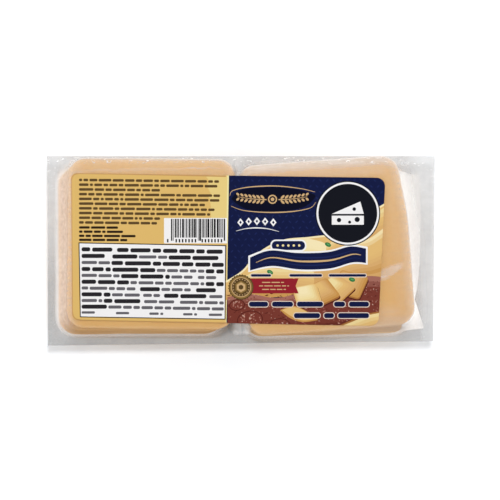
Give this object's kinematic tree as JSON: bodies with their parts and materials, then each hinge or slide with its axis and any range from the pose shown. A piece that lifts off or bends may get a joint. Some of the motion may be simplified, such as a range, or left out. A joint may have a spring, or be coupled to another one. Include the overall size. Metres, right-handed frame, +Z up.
{
  "type": "sliced cheese pack",
  "caption": "Sealed clear film pack holding two side-by-side stacks of square cheese slices, with a flat sealed flange all round and a wide printed label on top.",
  "frame": {"origin": "on the table, under the middle of the pack's outer rectangle, with the pack lying on its back and its label up", "axes": "+X along the pack, from the yellow end of the label to the dark end; +Y across the pack, towards the edge that is uppermost when the label is read; +Z up, out of the label"},
  "size_m": [0.2354, 0.115, 0.0472],
  "materials": {
    "film_and_cheese": "clear film drawn tight over pale orange cheese",
    "label_print": "printed self-adhesive label, smooth"
  },
  "bodies": {
    "root": {"sealed_pack": "film_and_cheese", "label": "label_print"}
  },
  "joints": []
}
